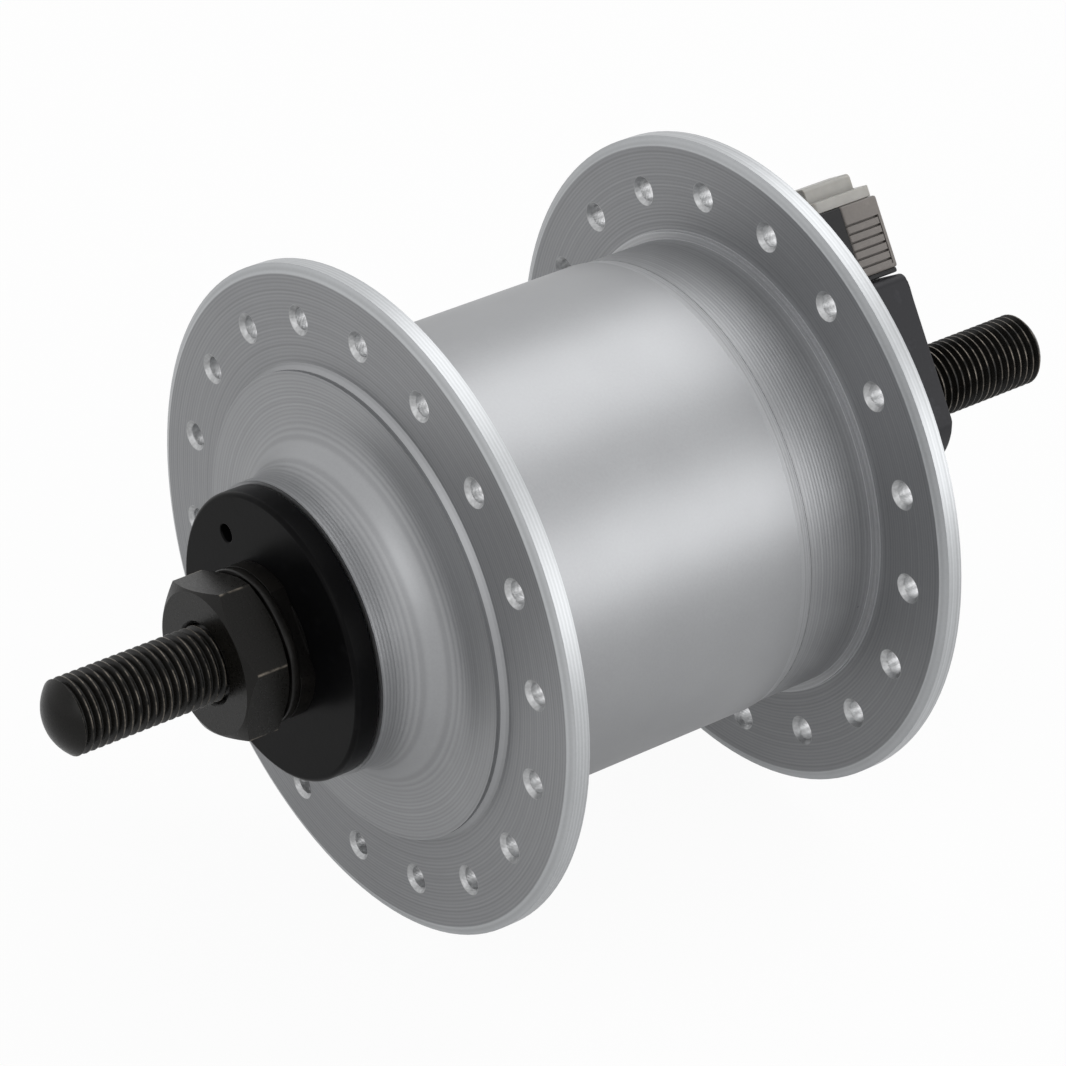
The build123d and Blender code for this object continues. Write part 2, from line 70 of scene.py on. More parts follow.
def add(tree: bpy.types.NodeTree, kind: str, settings: dict | None = None,
        links: dict | None = None) -> bpy.types.Node:
    """Adds a node with its settings and links.

    Args:
        tree: the node tree that gets the node.
        kind: the node's type name.
        settings: attributes by name, and sockets' values by name or number.
        links: the output that feeds each input socket.

    Returns:
        The new node.
    """
    node = tree.nodes.new(kind)
    for key, value in (settings or {}).items():
        if isinstance(key, str) and hasattr(node, key):
            setattr(node, key, value)
        else:
            node.inputs[key].default_value = value
    for key, source in (links or {}).items():
        tree.links.new(source, node.inputs[key])
    return node


class Pattern:
    """A surface point's measures in millimetres, and patterns made of them."""

    def __init__(self, tree: bpy.types.NodeTree) -> None:
        """Adds the nodes that measure the point.

        Args:
            tree: the material's node tree.
        """
        self.tree = tree
        coords = add(tree, "ShaderNodeTexCoord")
        point = add(tree, "ShaderNodeVectorMath", {"operation": "SCALE", "Scale": 1 / MM},
                    {0: coords.outputs["Object"]})
        split = add(tree, "ShaderNodeSeparateXYZ", links={0: point.outputs[0]})
        flat = add(tree, "ShaderNodeCombineXYZ", links={0: split.outputs[0], 2: split.outputs[2]})
        length = add(tree, "ShaderNodeVectorMath", {"operation": "LENGTH"}, {0: flat.outputs[0]})
        self.point = point.outputs[0]
        self.x, self.y, self.z = split.outputs
        self.radius = length.outputs["Value"]

    def math(self, operation: str, first: object, second: object = 0.0) -> bpy.types.NodeSocket:
        """Joins two values, each a socket or a number.

        Args:
            operation: the sum to do.
            first: the first value.
            second: the second value.

        Returns:
            The socket that holds the result.
        """
        settings: dict = {"operation": operation}
        links: dict = {}
        for place, value in enumerate((first, second)):
            if isinstance(value, (int, float)):
                settings[place] = value
            else:
                links[place] = value
        return add(self.tree, "ShaderNodeMath", settings, links).outputs[0]

    def step(self, value: bpy.types.NodeSocket, low: float, high: float) -> bpy.types.NodeSocket:
        """Rises smoothly from nought at low to one at high, or falls where high is lower."""
        return add(self.tree, "ShaderNodeMapRange",
                   {"interpolation_type": "SMOOTHSTEP", "From Min": low, "From Max": high},
                   {"Value": value}).outputs[0]

    def band(self, value: bpy.types.NodeSocket, low: float, high: float,
             soft: float) -> bpy.types.NodeSocket:
        """Gives one between two places and nought outside.

        Args:
            value: the measure.
            low: where it begins.
            high: where it ends.
            soft: half the width of its edges.

        Returns:
            The socket that holds the share.
        """
        rise = self.step(value, low - soft, low + soft)
        fall = self.step(value, high + soft, high - soft)
        return self.math("MULTIPLY", rise, fall)

    def grain(self, size: float, detail: float = 2.0) -> bpy.types.NodeSocket:
        """Cloudy noise whose grains are about that many millimetres wide."""
        return add(self.tree, "ShaderNodeTexNoise", {"Scale": 1 / size, "Detail": detail},
                   {"Vector": self.point}).outputs["Fac"]

    def lines(self, value: bpy.types.NodeSocket, pitch: float) -> bpy.types.NodeSocket:
        """Uneven lines at about that pitch along a value."""
        return add(self.tree, "ShaderNodeTexNoise",
                   {"noise_dimensions": "1D", "Scale": 1 / pitch, "Detail": 3.0},
                   {"W": value}).outputs["Fac"]

    def waves(self, value: bpy.types.NodeSocket, pitch: float) -> bpy.types.NodeSocket:
        """Gives even ridges from nought to one.

        Args:
            value: the measure that the ridges follow.
            pitch: the distance between two ridges.

        Returns:
            The socket that holds their height.
        """
        wave = self.math("SINE", self.math("MULTIPLY", value, 2 * math.pi / pitch))
        return add(self.tree, "ShaderNodeMath", {"operation": "MULTIPLY_ADD", 1: 0.5, 2: 0.5},
                   {0: wave}).outputs[0]

    def mix(self, share: bpy.types.NodeSocket, first: object, second: object) -> bpy.types.NodeSocket:
        """Goes from one colour to another, each a socket or a hex colour.

        Args:
            share: how much of the second shows.
            first: the colour where share is nought.
            second: the colour where share is one.

        Returns:
            The mixed colour's socket.
        """
        settings: dict = {"data_type": "RGBA"}
        links: dict = {0: share}
        for place, value in ((6, first), (7, second)):
            if isinstance(value, str):
                settings[place] = linear(value)
            else:
                links[place] = value
        return add(self.tree, "ShaderNodeMix", settings, links).outputs[2]

    def shade(self, colour: object, share: bpy.types.NodeSocket,
              dark: float, light: float) -> bpy.types.NodeSocket:
        """Makes a colour darker and lighter.

        Args:
            colour: a socket or a hex colour.
            share: a value from nought to one.
            dark: the gain where share is nought.
            light: the gain where share is one.

        Returns:
            The shaded colour's socket.
        """
        gain = add(self.tree, "ShaderNodeMapRange", {"To Min": dark, "To Max": light},
                   {"Value": share}).outputs[0]
        grey = add(self.tree, "ShaderNodeCombineColor", links={0: gain, 1: gain, 2: gain})
        settings: dict = {"data_type": "RGBA", "blend_type": "MULTIPLY", 0: 1.0}
        links: dict = {7: grey.outputs[0]}
        if isinstance(colour, str):
            settings[6] = linear(colour)
        else:
            links[6] = colour
        return add(self.tree, "ShaderNodeMix", settings, links).outputs[2]

    def bump(self, height: bpy.types.NodeSocket, depth: float,
             strength: float = 1.0) -> bpy.types.NodeSocket:
        """A normal for a relief of that depth in millimetres."""
        return add(self.tree, "ShaderNodeBump", {"Strength": strength, "Distance": depth * MM},
                   {"Height": height}).outputs["Normal"]


@dataclass(frozen=True)
class Finish:
    """What every finish has: its name, colour and gloss."""

    name: str
    colour: str
    roughness: float
    metallic: float = 0.0
    specular: float = 0.5

    def build(self) -> bpy.types.Material:
        """Makes the material."""
        material = bpy.data.materials.new(self.name)
        material.use_nodes = True
        tree = material.node_tree
        tree.nodes.clear()
        shader = add(tree, "ShaderNodeBsdfPrincipled",
                     {"Base Color": linear(self.colour), "Roughness": self.roughness,
                      "Metallic": self.metallic, "Specular IOR Level": self.specular})
        add(tree, "ShaderNodeOutputMaterial", links={"Surface": shader.outputs[0]})
        self.paint(Pattern(tree), tree, shader.inputs)
        return material

    def paint(self, pattern: Pattern, tree: bpy.types.NodeTree,
              inputs: bpy.types.NodeInputs) -> None:
        """Adds a fine grain, which every made surface has.

        Args:
            pattern: the surface point's measures.
            tree: the material's node tree.
            inputs: the shader's sockets.
        """
        grain = pattern.grain(0.5)
        tree.links.new(pattern.shade(self.colour, grain, 0.88, 1.1), inputs["Base Color"])
        tree.links.new(pattern.bump(grain, 0.01, 0.5), inputs["Normal"])


@dataclass(frozen=True)
class ShellAlloy(Finish):
    """Bead-blasted and lacquered aluminium, turned on its flanges: satin, with fine rings."""

    flange_colour: str = "#949597"
    # Painted highlight: the flange rims are drawn lighter than the faces, as if lit
    rim_highlight_colour: str = "#B7B9BB"
    hole_colour: str = "#C2C3C4"
    # Painted highlight: the colour of a lighter band painted round the shell where light catches it
    painted_highlight_colour: str = "#BBBCBE"
    speck_colour: str = "#77787B"
    # Where the painted highlight band lies along the axle, and the radius it stays below
    highlight_band_from: float = -13.3
    highlight_band_to: float = -11.6
    highlight_band_r: float = 28.3
    blasted_from: float = -12.0
    blasted_to: float = 26.4
    first_hole: float = 1.7
    barrel_r: float = 27.75
    # The radius from which the rims are painted lighter as a highlight
    rim_highlight_r: float = 38.05
    holes_r: float = 33.0
    hole_step: float = 20.0
    mouth_r: float = 1.85
    ring_pitch: float = 0.45
    # The real lines are 0.18 mm apart, too fine to show, so they are drawn at 0.42 mm
    ridge_pitch: float = 0.42
    grain_size: float = 0.32
    grain_gloss: float = 0.1
    sparkle_size: float = 0.4
    cloud_size: float = 9.0
    speck_every: float = 7.0
    relief: float = 0.009

    def hole_share(self, pattern: Pattern) -> bpy.types.NodeSocket:
        """Finds the spoke holes' mouths and walls, where the cut metal is bright.

        Args:
            pattern: the surface point's measures.

        Returns:
            The socket that is one inside the holes.
        """
        minus_x = pattern.math("MULTIPLY", pattern.x, -1.0)
        turn = pattern.math("ARCTAN2", minus_x, pattern.z)
        start = math.radians(self.first_hole - self.hole_step / 2)
        step = math.radians(self.hole_step)
        from_start = pattern.math("SUBTRACT", turn, start)
        within = pattern.math("FLOORED_MODULO", from_start, step)
        off = pattern.math("SUBTRACT", within, step / 2)
        across = pattern.math("MULTIPLY", off, self.holes_r)
        outward = pattern.math("SUBTRACT", pattern.radius, self.holes_r)
        both = add(pattern.tree, "ShaderNodeCombineXYZ", links={0: across, 1: outward})
        far = add(pattern.tree, "ShaderNodeVectorMath", {"operation": "LENGTH"},
                  {0: both.outputs[0]}).outputs["Value"]
        return pattern.step(far, self.mouth_r, self.mouth_r - 0.12)

    def paint(self, pattern: Pattern, tree: bpy.types.NodeTree,
              inputs: bpy.types.NodeInputs) -> None:
        """Paints the blasted barrel, the turned flanges and the holes, with painted highlights on the
        rims and on a band round the shell.

        Args:
            pattern: the surface point's measures.
            tree: the material's node tree.
            inputs: the shader's sockets.
        """
        along = pattern.math("ADD", pattern.radius, pattern.y)
        rings = pattern.lines(along, self.ring_pitch)
        ridges = pattern.waves(along, self.ridge_pitch)
        grain = pattern.grain(self.grain_size, 3.0)
        on_barrel = pattern.step(pattern.radius, self.barrel_r + 0.1, self.barrel_r)
        in_span = pattern.band(pattern.y, self.blasted_from, self.blasted_to, 0.15)
        blasted = pattern.math("MULTIPLY", on_barrel, in_span)
        turned = pattern.math("SUBTRACT", 1.0, blasted)
        colour = pattern.mix(on_barrel, self.flange_colour, self.colour)
        # Painted highlight: the outer edge of each flange is painted lighter, where light falls on the
        # rim
        rim_highlight = pattern.step(pattern.radius, self.rim_highlight_r, self.rim_highlight_r + 0.25)
        colour = pattern.mix(rim_highlight, colour, self.rim_highlight_colour)
        # Painted highlight: a lighter band round the shell near the barrel's end, only where the radius
        # is small
        highlight_ring = pattern.band(pattern.y, self.highlight_band_from, self.highlight_band_to, 0.08)
        low = pattern.step(pattern.radius, self.highlight_band_r, self.highlight_band_r - 0.1)
        colour = pattern.mix(pattern.math("MULTIPLY", highlight_ring, low), colour, self.painted_highlight_colour)
        cloud = pattern.grain(self.cloud_size)
        colour = pattern.shade(colour, cloud, 0.95, 1.05)
        colour = pattern.shade(colour, grain, 0.93, 1.06)
        ring_tone = pattern.math("MULTIPLY", pattern.math("SUBTRACT", rings, 0.5), turned)
        ring_tone = pattern.math("ADD", ring_tone, 0.5)
        colour = pattern.shade(colour, ring_tone, 0.86, 1.14)
        ridge_tone = pattern.math("MULTIPLY", pattern.math("SUBTRACT", ridges, 0.5), turned)
        colour = pattern.shade(colour, pattern.math("ADD", ridge_tone, 0.5), 0.93, 1.07)
        hole = self.hole_share(pattern)
        sparkle = pattern.grain(self.sparkle_size, 1.0)
        colour = pattern.mix(hole, colour, pattern.shade(self.hole_colour, sparkle, 0.6, 1.2))
        specks = add(tree, "ShaderNodeTexVoronoi", {"Scale": 1 / self.speck_every},
                     {"Vector": pattern.point}).outputs["Distance"]
        spot = pattern.step(specks, 0.022, 0.014)
        spot = pattern.math("MULTIPLY", spot, turned)
        colour = pattern.mix(spot, colour, self.speck_colour)
        tree.links.new(colour, inputs["Base Color"])
        rough = pattern.math("MULTIPLY", grain, self.grain_gloss)
        rough = pattern.math("ADD", rough, self.roughness - self.grain_gloss / 2)
        tree.links.new(rough, inputs["Roughness"])
        fine = pattern.math("MULTIPLY", ridges, turned)
        relief = pattern.math("ADD", pattern.math("MULTIPLY", grain, 0.9), fine)
        tree.links.new(pattern.bump(relief, self.relief, 0.8), inputs["Normal"])


@dataclass(frozen=True)
class BlackOxide(Finish):
    """Blackened steel: near black, oily sheen, worn to grey metal on crests and corners."""

    worn_colour: str = "#7D766D"
    worn_from: float = 4.36
    worn_to: float = 4.45
    patch_size: float = 1.6
    grain_size: float = 0.3
    relief: float = 0.012

    def paint(self, pattern: Pattern, tree: bpy.types.NodeTree,
              inputs: bpy.types.NodeInputs) -> None:
        """Paints the wear where the surface stands furthest out.

        Args:
            pattern: the surface point's measures.
            tree: the material's node tree.
            inputs: the shader's sockets.
        """
        patches = pattern.step(pattern.grain(self.patch_size, 4.0), 0.36, 0.62)
        edge = pattern.step(pattern.radius, self.worn_from, self.worn_to)
        worn = pattern.math("MULTIPLY", patches, edge)
        grain = pattern.grain(self.grain_size, 3.0)
        base = pattern.shade(self.colour, grain, 0.7, 1.4)
        tree.links.new(pattern.mix(worn, base, self.worn_colour), inputs["Base Color"])
        tree.links.new(worn, inputs["Metallic"])
        rough = pattern.math("MULTIPLY", grain, 0.25)
        tree.links.new(pattern.math("ADD", rough, self.roughness - 0.12), inputs["Roughness"])
        tree.links.new(pattern.bump(grain, self.relief, 0.6), inputs["Normal"])


@dataclass(frozen=True)
class Moulded(Finish):
    """Moulded plastic or paint: an even skin with a fine grain and faint scuffs."""

    scuff_colour: str = "#5A5A5C"
    scuff_share: float = 0.25
    grain_size: float = 0.35
    scuff_size: float = 2.2
    relief: float = 0.01

    def paint(self, pattern: Pattern, tree: bpy.types.NodeTree,
              inputs: bpy.types.NodeInputs) -> None:
        """Paints the scuffs and the skin's grain.

        Args:
            pattern: the surface point's measures.
            tree: the material's node tree.
            inputs: the shader's sockets.
        """
        grain = pattern.grain(self.grain_size, 3.0)
        scuffs = pattern.step(pattern.grain(self.scuff_size, 6.0), 0.56, 0.72)
        share = pattern.math("MULTIPLY", scuffs, self.scuff_share)
        base = pattern.shade(self.colour, grain, 0.9, 1.1)
        tree.links.new(pattern.mix(share, base, self.scuff_colour), inputs["Base Color"])
        rough = pattern.math("MULTIPLY", scuffs, 0.12)
        tree.links.new(pattern.math("ADD", rough, self.roughness), inputs["Roughness"])
        tree.links.new(pattern.bump(grain, self.relief, 0.5), inputs["Normal"])


@dataclass(frozen=True)
class Milky(Finish):
    """Natural nylon: milky, soft at its edges, with light carried a little way inside."""

    depth: float = 1.2
    inside: float = 0.35
    cloud_size: float = 1.8
    relief: float = 0.02

    def paint(self, pattern: Pattern, tree: bpy.types.NodeTree,
              inputs: bpy.types.NodeInputs) -> None:
        """Adds clouds in the resin and lets light into it.

        Args:
            pattern: the surface point's measures.
            tree: the material's node tree.
            inputs: the shader's sockets.
        """
        inputs["Subsurface Weight"].default_value = self.inside
        inputs["Subsurface Radius"].default_value = (1.0, 0.9, 0.8)
        inputs["Subsurface Scale"].default_value = self.depth * MM
        clouds = pattern.grain(self.cloud_size, 3.0)
        tree.links.new(pattern.shade(self.colour, clouds, 0.82, 1.12), inputs["Base Color"])
        tree.links.new(pattern.bump(clouds, self.relief, 0.4), inputs["Normal"])


@dataclass(frozen=True)
class Turned(Finish):
    """Machined or wound metal: fine lines round the axle at a known pitch."""

    pitch: float = 0.4
    relief: float = 0.02
    grain_size: float = 0.6

    def paint(self, pattern: Pattern, tree: bpy.types.NodeTree,
              inputs: bpy.types.NodeInputs) -> None:
        """Paints the lines left by the tool, or the turns of a winding.

        Args:
            pattern: the surface point's measures.
            tree: the material's node tree.
            inputs: the shader's sockets.
        """
        along = pattern.math("ADD", pattern.radius, pattern.y)
        ridges = pattern.waves(along, self.pitch)
        grain = pattern.grain(self.grain_size, 3.0)
        tone = pattern.shade(self.colour, ridges, 0.82, 1.12)
        tree.links.new(pattern.shade(tone, grain, 0.85, 1.15), inputs["Base Color"])
        tree.links.new(pattern.bump(ridges, self.relief, 0.7), inputs["Normal"])


class Surface(Enum):
    """The finishes of this hub, each named for what it is made of."""

    # Satin silver: broad soft highlights on the barrel, fine rings on the turned faces
    SHELL = ShellAlloy("blasted_turned_aluminium", "#9E9FA1", 0.44, 0.85)
    # The cap has its own painted highlight band, further along the axle
    CAP = ShellAlloy("blasted_turned_aluminium_cap", "#9E9FA1", 0.44, 0.85,
                     blasted_from=60.0, blasted_to=61.0, first_hole=11.7,
                     highlight_band_from=-22.55, highlight_band_to=-21.95)
    # Near black with an oily sheen, and bright lines where crests and corners are worn
    AXLE = BlackOxide("black_oxide_axle_steel", "#12110F", 0.3, 0.0, 0.2)
    NUT = BlackOxide("black_oxide_nut_steel", "#12110F", 0.3, 0.0, 0.2,
                     worn_from=9.68, worn_to=9.82)
    RING = BlackOxide("black_oxide_washer_steel", "#100F0E", 0.32, 0.0, 0.2,
                      worn_from=8.97, worn_to=9.3)
    # Deep black paint with a thin soft sheen along its edges
    COVER = Moulded("satin_black_enamel", "#0A0A0B", 0.28, 0.0, 0.05, "#252526", 0.12, 0.6)
    # Dull moulded plastics, dark or warm grey, lightly scuffed from handling
    TERMINAL = Moulded("moulded_black_nylon", "#2E2E31", 0.48, 0.0, 0.2, "#55555A", 0.3)
    PLUG_BLACK = Moulded("moulded_black_abs", "#151517", 0.45, 0.0, 0.25, "#303032")
    PLUG_GREY = Moulded("moulded_grey_abs", "#7C7773", 0.5, 0.0, 0.35, "#96918C", 0.3)
    # Cloudy resins that glow a little where light enters them
    LID = Milky("milky_nylon_lid", "#A8A6A1", 0.36)
    BOBBIN = Milky("natural_nylon_bobbin", "#D8D3C2", 0.45)
    # Inside the hub: bright ground steel, duller plated and stamped steel, copper, brass
    RACE = Turned("ground_bearing_steel", "#C2C3C5", 0.18, 1.0, 0.5, 0.002)
    ZINC = Turned("zinc_plated_steel", "#A9ABA8", 0.35, 0.9, 0.5, 0.01)
    IRON = Turned("stamped_electrical_steel", "#6E6F72", 0.45, 0.8, 0.5, 0.02)
    COIL = Turned("enamelled_copper_winding", "#B4632F", 0.28, 0.8, 0.45, 0.12)
    BRASS = Turned("spring_brass", "#C4A560", 0.3, 1.0, 0.6, 0.004)
    # Dull and dark without any sheen
    MAGNET = Finish("sintered_ferrite", "#2E2E31", 0.6)
    RUBBER = Finish("moulded_nitrile_rubber", "#161616", 0.7)


def select_only(piece: bpy.types.Object) -> None:
    """Selects one object and makes it the active one."""
    bpy.ops.object.select_all(action="DESELECT")
    piece.select_set(True)
    bpy.context.view_layer.objects.active = piece


def block(low: tuple, high: tuple) -> bpy.types.Object:
    """Adds a box between two corners given in millimetres.

    Args:
        low: the lowest corner.
        high: the highest corner.

    Returns:
        The box, with its place in its mesh.
    """
    bpy.ops.object.select_all(action="DESELECT")
    middle = [(a + b) / 2 * MM for a, b in zip(low, high)]
    bpy.ops.mesh.primitive_cube_add(size=1.0, location=middle)
    piece = bpy.context.object
    piece.scale = [(b - a) * MM for a, b in zip(low, high)]
    bpy.ops.object.transform_apply(location=True, rotation=True, scale=True)
    return piece


def drum(radius: float, low: float, high: float, sides: int, turn: float = 0.0,
         top: float | None = None) -> bpy.types.Object:
    """Adds a bar or cone about Y, with sizes in millimetres.

    Args:
        radius: the radius at the low end.
        low: the low end's place along Y.
        high: the high end's place along Y.
        sides: how many sides it has.
        turn: how far it is turned about Y, in radians.
        top: the radius at the high end, where it differs.

    Returns:
        The bar, with its place in its mesh.
    """
    bpy.ops.object.select_all(action="DESELECT")
    bpy.ops.mesh.primitive_cone_add(
        vertices=sides, radius1=radius * MM, radius2=(radius if top is None else top) * MM,
        depth=(high - low) * MM)
    piece = bpy.context.object
    upright = Matrix.Rotation(ALONG_Y, 4, "X")
    place = Matrix.Translation((0, (low + high) / 2 * MM, 0))
    piece.data.transform(place @ Matrix.Rotation(turn, 4, "Y") @ upright)
    return piece


def combine(piece: bpy.types.Object, tool: bpy.types.Object, operation: str) -> None:
    """Cuts, joins or crosses a piece with a tool, which is used up.

    Args:
        piece: the mesh that is changed.
        tool: the mesh that changes it.
        operation: UNION, DIFFERENCE or INTERSECT.
    """
    select_only(piece)
    modifier = piece.modifiers.new("combine", "BOOLEAN")
    modifier.operation = operation
    modifier.object = tool
    modifier.solver = "EXACT"
    bpy.ops.object.modifier_apply(modifier="combine")
    bpy.data.objects.remove(tool)


def soften(piece: bpy.types.Object, width: float, segments: int = 3) -> None:
    """Rounds a piece's sharp edges and shades it smooth, with flat faces kept flat.

    Args:
        piece: the mesh.
        width: the rounding's width in millimetres.
        segments: how many steps round an edge.
    """
    select_only(piece)
    modifier = piece.modifiers.new("soften", "BEVEL")
    modifier.width = width * MM
    modifier.segments = segments
    modifier.limit_method = "ANGLE"
    modifier.angle_limit = BEVEL_ANGLE
    bpy.ops.object.modifier_apply(modifier="soften")
    bpy.ops.object.shade_smooth_by_angle(angle=SMOOTH_ANGLE)
    flat = piece.modifiers.new("flat", "WEIGHTED_NORMAL")
    flat.keep_sharp = True
    bpy.ops.object.modifier_apply(modifier="flat")


def merged_copy(node: str) -> bpy.types.Object:
    """Copies a solid's mesh and merges its loose triangles into clean faces.

    Args:
        node: the solid's name.

    Returns:
        The copy.
    """
    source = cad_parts[node]
    piece = bpy.data.objects.new(node + "_dressed", source.data.copy())
    bpy.context.scene.collection.objects.link(piece)
    select_only(piece)
    bpy.ops.mesh.customdata_custom_splitnormals_clear()
    bpy.ops.object.mode_set(mode="EDIT")
    bpy.ops.mesh.select_all(action="SELECT")
    bpy.ops.mesh.remove_doubles(threshold=MERGE_WITHIN * MM)
    bpy.ops.mesh.dissolve_limited(angle_limit=FLAT_ANGLE)
    bpy.ops.object.mode_set(mode="OBJECT")
    return piece


def dress(piece: bpy.types.Object, surface: Surface) -> None:
    """Gives a piece one finish, made the first time that it is asked for.

    Args:
        piece: the mesh.
        surface: its finish.
    """
    finish = surface.value
    material = bpy.data.materials.get(finish.name) or finish.build()
    piece.data.materials.clear()
    piece.data.materials.append(material)


def settle(piece: bpy.types.Object, name: str, body: str, surface: Surface,
           nodes: tuple[str, ...]) -> None:
    """Names and dresses a new piece, and puts it in place of its solids.

    Args:
        piece: the finished mesh.
        name: its name.
        body: the body that it rides on.
        surface: its finish.
        nodes: the solids that it stands for.
    """
    piece.name = name
    dress(piece, surface)
    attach(piece, body)
    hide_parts(*nodes)
    log.info("%s stands for %s", name, ", ".join(nodes))


@dataclass
class HubShell:
    """The turning shell: barrel, end cap, magnets, cups and seals."""

    surfaces: dict[str, Surface] = field(default_factory=lambda: {
        "shell_barrel": Surface.SHELL, "end_cap": Surface.CAP, "shell_o_ring": Surface.RUBBER,
        "magnet_yoke": Surface.IRON, "magnets": Surface.MAGNET, "left_cup": Surface.RACE,
        "right_cup": Surface.RACE, "left_seal": Surface.RUBBER, "right_seal": Surface.RUBBER})

    def build(self) -> None:
        """Dresses the shell's solids."""
        for node, surface in self.surfaces.items():
            dress(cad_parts[node], surface)
        log.info("hub shell dressed")


@dataclass
class Bearings:
    """The balls and cages of both sides."""

    surfaces: dict[str, Surface] = field(default_factory=lambda: {
        "left_balls": Surface.RACE, "right_balls": Surface.RACE,
        "left_ball_cage": Surface.ZINC, "right_ball_cage": Surface.ZINC})

    def build(self) -> None:
        """Dresses the balls and cages."""
        for node, surface in self.surfaces.items():
            dress(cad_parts[node], surface)
        log.info("bearings dressed")


@dataclass
class AxleUnit:
    """What stands still: axle, nuts, covers, stator and terminal. Sizes in millimetres."""

    nut_flats: float = 17.0
    nut_low: float = 44.5
    nut_high: float = 50.0
    nut_chamfer_r: float = 8.3
    nut_chamfer_high: float = 0.87
    nut_turn: float = math.radians(-13.5)
    nut_bore_r: float = 4.5
    nut_bore_mouth: float = 0.45
    nut_edge: float = 0.28
    ring_edge: float = 0.18
    crest_edge: float = 0.06
    cover_edge: float = 0.3
    terminal_edge: float = 0.4
    surfaces: dict[str, Surface] = field(default_factory=lambda: {
        "right_cone": Surface.RACE, "right_spacer": Surface.AXLE,
        "left_claw_plate": Surface.IRON, "right_claw_plate": Surface.IRON,
        "stator_core": Surface.IRON, "coil_bobbin": Surface.BOBBIN,
        "coil_winding": Surface.COIL, "stator_washer": Surface.ZINC,
        "stator_nut": Surface.ZINC, "lead_wire": Surface.COIL, "lead_sleeve": Surface.BOBBIN,
        "contact_blades": Surface.BRASS})

    def locknut(self) -> None:
        """Makes the chamfered hexagon nut with worn, rounded corners."""
        corner_r = self.nut_flats / math.sqrt(3)
        middle = (self.nut_low + self.nut_high) / 2
        rise = self.nut_chamfer_high / (corner_r - self.nut_chamfer_r)
        tall = (self.nut_high - middle) / rise + self.nut_chamfer_r
        nut = drum(corner_r, self.nut_low, self.nut_high, 6, self.nut_turn)
        outer = drum(tall, middle, self.nut_high, FINE_SIDES, 0.0, self.nut_chamfer_r)
        inner = drum(self.nut_chamfer_r, self.nut_low, middle, FINE_SIDES, 0.0, tall)
        combine(outer, inner, "UNION")
        combine(nut, outer, "INTERSECT")
        mouth_r = self.nut_bore_r + self.nut_bore_mouth
        bore = drum(self.nut_bore_r, self.nut_low - 1, self.nut_high + 1, BORE_SIDES)
        combine(nut, bore, "DIFFERENCE")
        mouth = drum(self.nut_bore_r, self.nut_high - self.nut_bore_mouth,
                     self.nut_high + self.nut_bore_mouth, BORE_SIDES, 0.0,
                     mouth_r + self.nut_bore_mouth)
        combine(nut, mouth, "DIFFERENCE")
        soften(nut, self.nut_edge)
        settle(nut, "locknut", "axle_unit", Surface.NUT, ("left_locknut",))

    def rounded(self, node: str, edge: float, surface: Surface) -> None:
        """Puts a copy with rounded edges in place of a solid.

        Args:
            node: the solid's name.
            edge: the rounding's width.
            surface: the copy's finish.
        """
        piece = merged_copy(node)
        soften(piece, edge)
        settle(piece, node + "_rounded", "axle_unit", surface, (node,))

    def build(self) -> None:
        """Builds and dresses everything that stands still."""
        for node, surface in self.surfaces.items():
            dress(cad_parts[node], surface)
        self.locknut()
        self.rounded("axle", self.crest_edge, Surface.AXLE)
        self.rounded("left_washer", self.ring_edge, Surface.RING)
        self.rounded("left_cone", self.ring_edge, Surface.RING)
        self.rounded("left_dust_cover", self.cover_edge, Surface.COVER)
        self.rounded("right_dust_cover", self.cover_edge, Surface.COVER)
        self.rounded("right_washer", self.ring_edge, Surface.ZINC)
        self.rounded("right_locknut", self.ring_edge, Surface.NUT)
        self.rounded("terminal_body", self.terminal_edge, Surface.TERMINAL)
        log.info("axle unit built")


